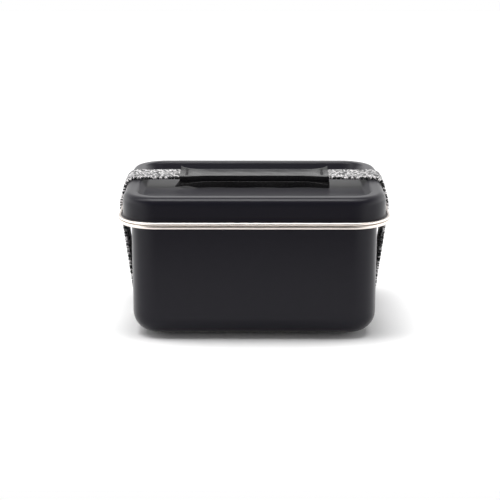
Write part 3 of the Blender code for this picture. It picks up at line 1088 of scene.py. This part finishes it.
def band_route():
    """The right half of the band, as stations (x, z, normal) of each of its runs."""
    sizes = bpy.context.scene.lunch_box_sizes
    base = (
        HALF_X - sizes.wall_inset - sizes.base_radius,
        BASE_LEVEL + sizes.base_radius,
        sizes.base_radius + GAP,
    )
    body_bead = (HALF_X - BEAD_RADIUS, BODY_BEAD, BEAD_RADIUS + GAP)
    lid_bead = (HALF_X - BEAD_RADIUS, LID_BEAD, BEAD_RADIUS + GAP)
    lid_edge = (
        HALF_X - sizes.lid_inset - sizes.lid_edge, LID_TOP - sizes.lid_edge, sizes.lid_edge + GAP
    )
    leaves_base = shared_normal(base, body_bead)
    leaves_rim = shared_normal(lid_bead, lid_edge)
    bottom = [(0.0, BASE_LEVEL - GAP, -90.0)] + route_arc(base, -90, leaves_base, ROUND_STEPS)
    side = [bottom[-1]] + route_arc(body_bead, leaves_base, 0, SMALL_STEPS)
    joint = []
    for i in range(JOINT_STEPS + 1):
        z = BODY_BEAD + (LID_BEAD - BODY_BEAD) * inverse_smooth(i / JOINT_STEPS)
        joint.append((HALF_X + GAP, z, 0.0))
    shoulder = route_arc(lid_bead, 0, leaves_rim, SMALL_STEPS)
    shoulder += route_arc(lid_edge, leaves_rim, 90, ROUND_STEPS)
    brim = HALF_X - sizes.lid_inset - sizes.border + sizes.border_radius
    shoulder += [(brim, BAND_LEVEL, 90.0)]
    bridge = [(brim, BAND_LEVEL, 90.0), (HANDLE_END + GAP, BAND_LEVEL, 90.0)]
    return {"bottom": bottom, "side": side, "joint": joint, "shoulder": shoulder, "bridge": bridge}


def route_lengths(stations, start, joint=None, slack=0.0):
    """Weave positions along stations. Inside the joint's span the weave holds slack."""
    lengths = [start]
    for a, b in zip(stations, stations[1:]):
        step = math.hypot(b[0] - a[0], b[1] - a[1])
        upright = a[2] == b[2] == 0
        low, high = min(a[1], b[1]), max(a[1], b[1])
        if joint and upright and low >= joint[0] - TINY and high <= joint[1] + TINY:
            step = slack / JOINT_STEPS
        lengths.append(lengths[-1] + step)
    return lengths


FULL_FROM = 0.8  # share of the base's round above which the band has its full thickness
RIB_STEPS = 36  # steps across the band's outer face
EDGE_STEPS = 6  # steps round each of its edges


def band_thickness(z):
    """The band is pressed thin under the base, and reaches full thickness on the base's round."""
    radius = bpy.context.scene.lunch_box_sizes.base_radius
    rise = min(max((z - BASE_LEVEL + GAP) / radius, 0), FULL_FROM) / FULL_FROM
    pressed, full = BASE_LEVEL - GAP, BAND_HIGH[2] - BAND_LOW[2]
    return pressed + (full - pressed) * rise


def band_section(width, thickness, band):
    """Points (y, out, u) round the band: ribbed outer face, round edge, inner face, round edge."""
    half, edge = width / 2, band.edge_round
    bulge = thickness / 2 - band.rib / 2
    half_way = EDGE_STEPS // 2
    points = []
    for i in range(RIB_STEPS + 1):
        y = -half + edge + (width - 2 * edge) * i / RIB_STEPS
        rib = band.rib * (0.5 - 0.5 * math.cos(2 * math.pi * y / band.rib_pitch))
        points.append((y, thickness - band.rib + rib, y))
    for i in range(1, EDGE_STEPS):
        angle = math.radians(90 - 180 * i / EDGE_STEPS)
        y = half - edge + edge * math.cos(angle)
        points.append(
            (y, thickness / 2 + bulge * math.sin(angle), half - edge + edge * i / half_way)
        )
    points += [(y, 0.0, y) for y in (half - edge, 0.0, -half + edge)]
    for i in range(1, EDGE_STEPS):
        angle = math.radians(270 - 180 * i / EDGE_STEPS)
        y = -half + edge + edge * math.cos(angle)
        u = -half + edge - edge * (EDGE_STEPS - i) / half_way
        points.append((y, thickness / 2 + bulge * math.sin(angle), u))
    return points


CORE_PRESS = 0.55  # the band lies pressed inside the sleeve
WEAVE_START = 0.1  # keeps the weave map clear of its own zero line


def band_piece(name, stations, lengths, widths, loops=True, press=1.0):
    """The band along its stations, with its weave map and its edge loops."""
    band = bpy.context.scene.lunch_box_band
    shape = bmesh.new()
    uv = shape.loops.layers.uv.new("weave")
    rows, across = [], []
    for (x, z, angle), width in zip(stations, widths):
        out = Vector((math.cos(math.radians(angle)), 0, math.sin(math.radians(angle))))
        section = band_section(width, press * band_thickness(z), band)
        places = (Vector((x, BAND_MIDDLE + y, z)) + lift * out for y, lift, _ in section)
        rows.append([shape.verts.new(each) for each in places])
        across.append([u for _, _, u in section])
    count = len(rows[0])
    front = count - EDGE_STEPS // 2
    back = RIB_STEPS + EDGE_STEPS // 2
    for k in range(len(rows) - 1):
        for i in range(count):
            j = (i + 1) % count
            face = shape.faces.new((rows[k][i], rows[k][j], rows[k + 1][j], rows[k + 1][i]))
            u_here, u_next, v_here, v_next = across[k][i], across[k][j], lengths[k], lengths[k + 1]
            marks = ((u_here, v_here), (u_next, v_here), (u_next, v_next), (u_here, v_next))
            for corner, (u, v) in zip(face.loops, marks):
                corner[uv].uv = (u + WEAVE_START, v)
    for row, length in ((rows[0], lengths[0]), (rows[-1], lengths[-1])):
        face = shape.faces.new(row)
        for corner in face.loops:
            corner[uv].uv = (corner.vert.co.y + WEAVE_START, length)
    edges = set()
    for k in range(len(rows) - 1):
        for i in (front, back):
            edges.add(frozenset((k * count + i, (k + 1) * count + i)))
    made = mesh_from(name, shape, ("knit",))
    mark = made.data.attributes.new("selvedge", "BOOLEAN", "EDGE")
    for edge in made.data.edges:
        mark.data[edge.index].value = frozenset(edge.vertices) in edges
    if loops:
        values = {
            "Pitch": band.loop_pitch,
            "Loop Radius": band.loop_size,
            "Loop Material": finish_named("loops"),
        }
        applied(made, shared(edge_loops_tree), values)
    return made


def mirrored(stations, lengths, widths):
    """A run of the band turned over to the left side."""
    turned = [(-x, z, 180 - angle) for x, z, angle in reversed(stations)]
    return turned, [-v for v in reversed(lengths)], list(reversed(widths))


BOTTOM_STEP, SIDE_STEP, LID_STEP, BRIDGE_STEP = 0.006, 0.004, 0.003, 0.0012  # between stations
TAPER_START = 0.3  # share of the bridge after which the band narrows towards the handle
CORE_TAPER = (0.001, 0.02)  # distances from the handle's end over which the core narrows


class LUNCHBOX_OT_band(bpy.types.Operator):
    """Builds the elastic band in five visible runs and the core inside the handle"""

    bl_idname = "lunchbox.band"
    bl_label = "Band"

    def execute(self, context):
        band = context.scene.lunch_box_band
        width = BAND_HIGH[1] - BAND_LOW[1]
        route = band_route()
        bottom = filled(route["bottom"], BOTTOM_STEP)
        lengths = route_lengths(bottom, 0.0)
        left = mirrored(bottom, lengths, [width] * len(bottom))
        whole = left[0][:-1] + bottom
        made = band_piece("band_bottom", whole, left[1][:-1] + lengths, [width] * len(whole))
        place(made, "box", "grey_elastic", "strap_bottom")

        side = filled(route["side"], SIDE_STEP)[:-1] + route["joint"]
        side += filled(route["shoulder"], LID_STEP)[1:]
        joint = (BODY_BEAD, LID_BEAD)
        side_lengths = route_lengths(side, lengths[-1], joint, band.stretch_weave)
        widths = [width] * len(side)
        bridge = filled(route["bridge"], BRIDGE_STEP)
        bridge_lengths = route_lengths(bridge, side_lengths[-1])
        reach = bridge[0][0] - bridge[-1][0]
        taper = []
        for x, _, _ in bridge:
            gathered = smooth(bridge[0][0] - x, TAPER_START * reach, reach)
            taper.append(width + (band.mouth_width - width) * gathered)
        for word, turn in (("right", False), ("left", True)):
            sign = -1 if turn else 1
            run = (side, side_lengths, widths)
            if turn:
                run = mirrored(*run)
            made = band_piece(f"band_end_{word}", *run)
            x = sign * HALF_X
            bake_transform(made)
            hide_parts(f"strap_side_{word}", f"strap_shoulder_{word}")
            run = (bridge, bridge_lengths, taper)
            if turn:
                run = mirrored(*run)
            made = band_piece(f"band_bridge_{word}", *run)
            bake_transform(made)
            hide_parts(f"strap_bridge_{word}")

        core = [(HANDLE_END, BAND_LEVEL, 90.0), (-HANDLE_END, BAND_LEVEL, 90.0)]
        core = filled(core, LID_STEP)
        core_lengths = route_lengths(core, bridge_lengths[-1])
        core_widths = []
        for x, _, _ in core:
            mouth = 1 - smooth(HANDLE_END - abs(x), *CORE_TAPER)
            core_widths.append(band.core_width + (band.mouth_width - band.core_width) * mouth)
        made = band_piece(
            "band_core", core, core_lengths, core_widths, loops=False, press=CORE_PRESS
        )
        place(made, "handle", "grey_elastic", "strap_core")
        return {"FINISHED"}


# ---- Leather handle ----


SLEEVE_DROP = 0.0012  # how far the sleeve's underside lies below the band
END_DROP = 0.0002  # how much lower it lies at the ends
TOP_ROLL, LOW_ROLL = 0.0014, 0.0010  # radii of the rolled long edges, above and below
TOP_STEPS, UNDER_STEPS = 18, 12  # steps across the sleeve's top and its underside
TACK_HALF = 0.0013  # half the width of the groove that a tack pulls in
TACK_SINK = 0.0013  # depth of that groove
TACK_SPAN = ((-0.75, -0.45), (0.55, 0.85))  # where it fades in and out across the sleeve
PULL_REACH, PULL_SINK = 0.0042, 0.0003  # length and depth of the dip that a tack draws round it
WRINKLE, WRINKLE_PITCH = 0.00024, 1900  # wrinkles at a tack: height, radians per metre
RIPPLE, RIPPLE_PITCH = 0.00012, 310  # the top's long ripples: height, radians per metre
CURL_REACH = 0.0024  # distance from the handle's end over which the back corner curls up


def handle_shape(x):
    """Front, back, bottom and top of the sleeve at x, as (y, y, z, z)."""
    handle = bpy.context.scene.lunch_box_handle
    end = 1 - smooth(HANDLE_END - abs(x), 0.0, handle.end_run)
    front = BAND_MIDDLE - (handle.waist_front + (handle.end_front - handle.waist_front) * end)
    back = BAND_MIDDLE + (handle.waist_back + (handle.end_back - handle.waist_back) * end)
    top = BAND_LEVEL + handle.waist_top + (handle.end_top - handle.waist_top) * end
    bottom = BAND_LEVEL - SLEEVE_DROP - END_DROP * end
    return front, back, bottom, top


def sleeve_section(x):
    """Outer points (y, z) round the sleeve at x: rolled edges, a trough, pinches at the tacks."""
    handle = bpy.context.scene.lunch_box_handle
    front, back, bottom, top = handle_shape(x)
    end = 1 - smooth(HANDLE_END - abs(x), 0.0, handle.end_run)
    roll = min((top - bottom) / 2 - 0.0001, TOP_ROLL)
    points = arc((front + LOW_ROLL, bottom + LOW_ROLL), LOW_ROLL, 270, 180, 5)
    points += arc((front + roll, top - roll), roll, 180, 90, SMALL_STEPS)
    for i in range(1, TOP_STEPS):
        points.append((front + roll + (back - front - 2 * roll) * i / TOP_STEPS, top))
    points += arc((back - roll, top - roll), roll, 90, 0, SMALL_STEPS)
    points += arc((back - LOW_ROLL, bottom + LOW_ROLL), LOW_ROLL, 0, -90, 5)
    for i in range(1, UNDER_STEPS):
        points.append((back - LOW_ROLL + (front - back + 2 * LOW_ROLL) * i / UNDER_STEPS, bottom))
    middle, half = (front + back) / 2, (back - front) / 2
    from_tack = abs(x) - TACK_X
    shaped = []
    for y, z in points:
        u = (y - middle) / half
        above = smooth(z, (bottom + top) / 2, top)
        dip = handle.trough * (1 - min(abs(u), 1) ** 4) * (0.4 + 0.6 * (1 - end))
        dip += RIPPLE * math.sin(x * RIPPLE_PITCH + 5 * u) * (1 - abs(u) ** 2)
        across = smooth(u, *TACK_SPAN[0]) * (1 - smooth(u, *TACK_SPAN[1]))
        tack = math.exp(-((from_tack / TACK_HALF) ** 2)) * across
        pull = math.exp(-((from_tack / PULL_REACH) ** 2)) * math.exp(-(((u - 0.25) / 0.5) ** 2))
        wrinkle = WRINKLE * pull * math.sin((y + 0.3 * abs(x)) * WRINKLE_PITCH)
        curl = handle.curl * math.exp(-(HANDLE_END - abs(x)) / CURL_REACH) * smooth(u, 0.45, 1.0)
        z += above * (curl - dip * (1 - 0.7 * tack) - TACK_SINK * tack - PULL_SINK * pull + wrinkle)
        shaped.append((y, z))
    return shaped


def offset_loop(points, distance):
    """The closed loop of (y, z) points moved inwards."""
    moved = []
    count = len(points)
    for i, (y, z) in enumerate(points):
        (y0, z0), (y1, z1) = points[i - 1], points[(i + 1) % count]
        along = Vector((y1 - y0, z1 - z0)).normalized()
        moved.append((y + along.y * distance, z - along.x * distance))
    return moved


HANDLE_STEPS = 110
TACK_STOPS = (-0.0015, -0.001, -0.0005, 0, 0.0005, 0.001, 0.0015)  # sections across a tack's groove
END_STOP = 0.0004


def handle_stations():
    """The x of each section of the sleeve, closer together at the tacks."""
    stops = [-HANDLE_END + 2 * HANDLE_END * i / HANDLE_STEPS for i in range(HANDLE_STEPS + 1)]
    extra = [sign * (TACK_X + d) for sign in (-1, 1) for d in TACK_STOPS]
    extra += [sign * (HANDLE_END - END_STOP) for sign in (-1, 1)]
    return sorted(set(round(x, 7) for x in stops + extra))


class LUNCHBOX_OT_sleeve(bpy.types.Operator):
    """Builds the leather sleeve of the handle"""

    bl_idname = "lunchbox.sleeve"
    bl_label = "Handle Sleeve"

    def execute(self, context):
        handle = context.scene.lunch_box_handle
        shape = bmesh.new()
        outer, inner = [], []
        for x in handle_stations():
            points = sleeve_section(x)
            outer.append([shape.verts.new((x, y, z)) for y, z in points])
            inner.append(
                [shape.verts.new((x, y, z)) for y, z in offset_loop(points, handle.leather)]
            )
        count = len(outer[0])
        for rows in (outer, inner):
            for a, b in zip(rows, rows[1:]):
                for i in range(count):
                    shape.faces.new((a[i - 1], a[i], b[i], b[i - 1]))
        for a, b in ((outer[0], inner[0]), (outer[-1], inner[-1])):
            for i in range(count):
                shape.faces.new((a[i - 1], a[i], b[i], b[i - 1])).material_index = 1
        made = mesh_from("handle_leather", shape, ("leather", "raw_edge"))
        place(made, "handle", "black_leather", "handle_sleeve")
        return {"FINISHED"}


FIN_RIGHT_OVERHANG = 0.0004  # how far the fin reaches past the sleeve's right end
FIN_LAYER = 0.92  # thickness of one fin layer, as a share of the leather's
FIN_SHIFT = 0.0009  # how much sooner the back layer ends at the free tip
FIN_DIP = 0.0009  # how far the free tip's lower corner hangs below the edge next to it
FIN_RISE = 0.0009  # how far the fin reaches above the crease
FIN_STEPS, FIN_LEVELS = 90, 7
FIN_RAW_RUN = 0.011  # how far from the handle's left end the fin's lower edge shows raw leather
SEAM_SAG, SEAM_SAG_RUN = 0.0012, 0.016  # drop of the crease at the ends, and over what length


def crease_point(x):
    """Where the seam's crease runs at x, as (y, z)."""
    front, _, bottom, _ = handle_shape(min(max(x, -HANDLE_END), HANDLE_END))
    sag = SEAM_SAG * smooth(abs(x), HANDLE_END - SEAM_SAG_RUN, HANDLE_END)
    return front + 0.0005, bottom + 0.0001 - sag


class LUNCHBOX_OT_fin(bpy.types.Operator):
    """Builds the two leather layers that hang below the seam"""

    bl_idname = "lunchbox.fin"
    bl_label = "Handle Fin"

    def execute(self, context):
        sizes, handle = context.scene.lunch_box_sizes, context.scene.lunch_box_handle
        recess_floor = LID_TOP - sizes.recess
        layer = handle.leather * FIN_LAYER
        left = -HANDLE_END - handle.flare
        right = HANDLE_END + FIN_RIGHT_OVERHANG
        count, levels = FIN_STEPS, FIN_LEVELS
        shape = bmesh.new()
        for number in (0, 1):
            begin = left + FIN_SHIFT * number
            fronts, backs = [], []
            for k in range(count + 1):
                x = begin + (right - begin) * k / count
                y_top, z_top = crease_point(x)
                tip = smooth(-x, HANDLE_END - 0.013, HANDLE_END - 0.004)
                z_low = recess_floor + handle.fin_foot + handle.fin_lift * tip
                z_low -= FIN_DIP * smooth(-x, HANDLE_END - 0.007, HANDLE_END + handle.flare)
                z_low += 0.00005 * math.sin(x * 190 + number)
                z_high = z_top + FIN_RISE + 0.0016 * smooth(
                    -x, HANDLE_END - 0.005, HANDLE_END - 0.001
                )
                beyond = max(0.0, -x - HANDLE_END + 0.0004) / (handle.flare + 0.0004)
                z_high -= (z_high - z_low - 0.0003) * min(beyond, 1.0)
                front_row, back_row = [], []
                for j in range(levels + 1):
                    t = j / levels
                    z = z_high + (z_low - z_high) * t
                    swing = -0.0005 * math.sin(t * math.pi / 2) - 0.0004 * tip * t
                    swing -= 0.0002 * math.sin(x * 140) * t
                    y = y_top + 0.0004 + swing + number * (layer + 0.0001 + 0.0003 * t * tip)
                    front_row.append(shape.verts.new((x, y, z)))
                    back_row.append(shape.verts.new((x, y + layer, z)))
                fronts.append(front_row)
                backs.append(back_row)
            for rows in (fronts, backs):
                for a, b in zip(rows, rows[1:]):
                    for j in range(levels):
                        shape.faces.new((a[j], a[j + 1], b[j + 1], b[j]))
            for j in (0, levels):
                for k in range(count):
                    face = shape.faces.new(
                        (fronts[k][j], fronts[k + 1][j], backs[k + 1][j], backs[k][j])
                    )
                    bare = j == levels and fronts[k][j].co.x < FIN_RAW_RUN - HANDLE_END
                    face.material_index = int(bare)
            for k in (0, count):
                for j in range(levels):
                    ring = (fronts[k][j], fronts[k][j + 1], backs[k][j + 1], backs[k][j])
                    shape.faces.new(ring).material_index = 1
        made = mesh_from("handle_fin", shape, ("leather", "raw_edge"))
        place(made, "handle", "black_leather")
        return {"FINISHED"}


SEAM_STEPS = 60
SEAM_OUT, SEAM_BELOW = 0.0003, 0.0004  # how far the stitches lie off the crease
SEAM_END = 0.002  # distance from the handle's end to the seam's
TACK_SHARE = (0.24, 0.76)  # where a tack starts and ends across the sleeve
TACK_ABOVE = 0.0006  # height above the sleeve's middle from which its section counts as top
THREAD_CLEAR = 0.0001  # height of a tack's line above the leather


class LUNCHBOX_OT_stitching(bpy.types.Operator):
    """Sews the seam and the two bar tacks"""

    bl_idname = "lunchbox.stitching"
    bl_label = "Stitching"

    def execute(self, context):
        handle = context.scene.lunch_box_handle
        material = finish_named("thread")
        points = []
        for k in range(SEAM_STEPS + 1):
            x = -HANDLE_END + SEAM_END + (2 * HANDLE_END - 2 * SEAM_END) * k / SEAM_STEPS
            y, z = crease_point(x)
            points.append((x, y - SEAM_OUT, z - SEAM_BELOW))
        seam = line_object("seam_stitches", points)
        sewn = {"Thread": handle.thread, "Material": material}
        stitches = {"Pitch": handle.stitch_pitch, "Length": handle.stitch_length}
        applied(seam, stitch_row_tree(), {**stitches, **sewn})
        place(seam, "handle", "black_thread", "handle_seam_thread")
        tree = bar_tack_tree()
        for word, sign in (("left", -1), ("right", 1)):
            x = sign * TACK_X
            front, back, bottom, top = handle_shape(x)
            level = (bottom + top) / 2 + TACK_ABOVE
            upper = sorted((y, z) for y, z in sleeve_section(x) if z > level)
            low, high = (front + part * (back - front) for part in TACK_SHARE)
            run = [(x, y, z + THREAD_CLEAR) for y, z in upper if low <= y <= high]
            tack = line_object(f"tack_{word}", run)
            applied(tack, tree, {"Pitch": handle.tack_pitch, "Width": handle.tack_width, **sewn})
            place(tack, "handle", "black_thread", f"bar_tack_{word}")
        return {"FINISHED"}


# ---- Stage ----

CAMERA_DISTANCE = 1.0
CAMERA_AIM = (0.0, 0.0, 0.0805)
CAMERA_HEIGHT_ANGLE = 12.89  # degrees that the camera stands above the point it aims at
CAMERA_DIP = 1.911  # degrees that it then looks below that point
CAMERA_TURN = 0.175  # degrees that it then looks to the left
CAMERA_LENS = 104.04

SIDE_WEIGHT, ABOVE_WEIGHT = 0.9, 0.6  # how much a heading's side and height count against its depth
BEHIND_GLOW = 0.9  # brightness behind the box
FRONT_GLOW, TOP_GLOW = 0.25, 0.02  # brightness in front at floor level and overhead
FLANK_GLOW = 1.8  # extra brightness at both sides
SOAKED = 0.35  # share of the world's light that matt surfaces don't get
FLOOR_SIDE, FLOOR_FRONT, FLOOR_BACK = 1.6, -0.3, 2.2


def studio_world(scene):
    """Bright behind, brighter at both sides, dim above and in front, and white to the camera."""
    world = bpy.data.worlds.new("studio")
    scene.world = world
    world.use_nodes = True
    net = Net(world.node_tree)
    background = world.node_tree.nodes["Background"]
    heading = net.add(
        "ShaderNodeSeparateXYZ", {0: net.add("ShaderNodeTexCoord").outputs["Generated"]}
    )
    x, y, z = heading.outputs
    aside = net.maths("ABSOLUTE", x)
    sides = net.maths("MULTIPLY", aside, SIDE_WEIGHT)
    above = net.maths("MULTIPLY", net.maths("MAXIMUM", z, 0.0), ABOVE_WEIGHT)
    facing = net.maths("SUBTRACT", net.maths("ADD", y, sides), above)
    behind = net.span(facing, 0.0, 0.5, 0.0, BEHIND_GLOW)
    front = net.span(z, 0.05, 0.6, FRONT_GLOW, TOP_GLOW)
    level = net.span(z, 0.3, 0.7, 1.0, 0.0)
    flanks = net.maths("MULTIPLY", net.span(aside, 0.35, 0.9, 0.0, FLANK_GLOW), level)
    light = net.maths("ADD", net.maths("MAXIMUM", behind, front), flanks)
    ray = net.add("ShaderNodeLightPath").outputs
    light = net.maths(
        "MULTIPLY", light, net.maths("MULTIPLY_ADD", ray["Is Diffuse Ray"], -SOAKED, 1.0)
    )
    seen = ray["Is Camera Ray"]
    strength = net.add("ShaderNodeMix", {0: seen, 2: light, 3: 1.0}).outputs[0]
    net.put(background, "Color", (1.0, 1.0, 1.0, 1.0))
    net.put(background, "Strength", strength)


def area_light(name, place_at, aim, width, depth, power):
    light = bpy.data.lights.new(name, "AREA")
    light.shape = "RECTANGLE"
    light.size, light.size_y = width, depth
    light.energy = power
    made = bpy.data.objects.new(name, light)
    made.location = place_at
    made.rotation_euler = (Vector(aim) - Vector(place_at)).to_track_quat("-Z", "Y").to_euler()
    bpy.context.scene.collection.objects.link(made)


class LUNCHBOX_OT_stage(bpy.types.Operator):
    """Sets out the floor, the lights and the camera"""

    bl_idname = "lunchbox.stage"
    bl_label = "Stage"

    def execute(self, context):
        scene = context.scene
        scene.view_settings.view_transform = "Standard"
        studio_world(scene)
        mesh = bpy.data.meshes.new("floor")
        ends = ((-1, FLOOR_FRONT), (1, FLOOR_FRONT), (1, FLOOR_BACK), (-1, FLOOR_BACK))
        mesh.from_pydata([(side * FLOOR_SIDE, y, 0) for side, y in ends], [], [(0, 1, 2, 3)])
        floor = bpy.data.objects.new("floor", mesh)
        scene.collection.objects.link(floor)
        pale = Finish("studio_floor", Roughness=0.9, Specular_IOR_Level=0.0)
        pale.net.put(pale.shader, "Base Color", rgba(looks().floor))
        spot = pale.net.add("ShaderNodeVectorMath", operation="LENGTH")
        pale.net.put(spot, 0, pale.net.add("ShaderNodeTexCoord").outputs["Object"])
        glow = pale.net.span(spot.outputs["Value"], 0.45, 1.2, 0.0, 0.9)
        pale.net.put(pale.shader, "Emission Color", (1.0, 1.0, 1.0, 1.0))
        pale.net.put(pale.shader, "Emission Strength", glow)
        mesh.materials.append(pale.material)
        area_light("overhead_strip", (-0.2, -0.03, 1.2), (-0.2, -0.03, 0.0), 1.8, 0.6, 17.5)
        area_light("overhead_core", (-0.1, -0.06, 1.15), (-0.1, -0.06, 0.0), 0.6, 0.4, 6.5)
        elevation = math.radians(CAMERA_HEIGHT_ANGLE)
        camera = bpy.data.cameras.new("camera")
        camera.lens = CAMERA_LENS
        camera.sensor_width = 36.0
        camera.clip_start = 0.01
        made = bpy.data.objects.new("camera", camera)
        step = Vector((0, -math.cos(elevation), math.sin(elevation))) * CAMERA_DISTANCE
        made.location = Vector(CAMERA_AIM) + step
        made.rotation_euler = (
            math.radians(90 - CAMERA_HEIGHT_ANGLE - CAMERA_DIP), 0, math.radians(CAMERA_TURN)
        )
        scene.collection.objects.link(made)
        scene.camera = made
        return {"FINISHED"}


OPERATORS = (
    LUNCHBOX_OT_stage,
    LUNCHBOX_OT_body,
    LUNCHBOX_OT_lid,
    LUNCHBOX_OT_rims,
    LUNCHBOX_OT_seal,
    LUNCHBOX_OT_band,
    LUNCHBOX_OT_sleeve,
    LUNCHBOX_OT_fin,
    LUNCHBOX_OT_stitching,
)
GROUPS = {
    "lunch_box_sizes": LunchBoxSizes,
    "lunch_box_band": LunchBoxBand,
    "lunch_box_handle": LunchBoxHandle,
    "lunch_box_looks": LunchBoxLooks,
}


class LUNCHBOX_PT_panel(bpy.types.Panel):
    """Sizes, colours and steps of the lunch box"""

    bl_idname = "LUNCHBOX_PT_panel"
    bl_label = "Lunch Box"
    bl_space_type = "VIEW_3D"
    bl_region_type = "UI"
    bl_category = "Lunch Box"

    def draw(self, context):
        for name, kind in GROUPS.items():
            box = self.layout.box()
            for key in kind.__annotations__:
                box.prop(getattr(context.scene, name), key)
        for each in OPERATORS:
            self.layout.operator(each.bl_idname)


def register():
    for kind in (*GROUPS.values(), *OPERATORS, LUNCHBOX_PT_panel):
        bpy.utils.register_class(kind)
    for name, kind in GROUPS.items():
        setattr(bpy.types.Scene, name, bpy.props.PointerProperty(type=kind))


def unregister():
    for name in GROUPS:
        delattr(bpy.types.Scene, name)
    for kind in reversed((*GROUPS.values(), *OPERATORS, LUNCHBOX_PT_panel)):
        bpy.utils.unregister_class(kind)


def main():
    register()
    for each in OPERATORS:
        step = each.bl_idname.split(".")[1]
        getattr(bpy.ops.lunchbox, step)()


if __name__ == "__main__":
    main()
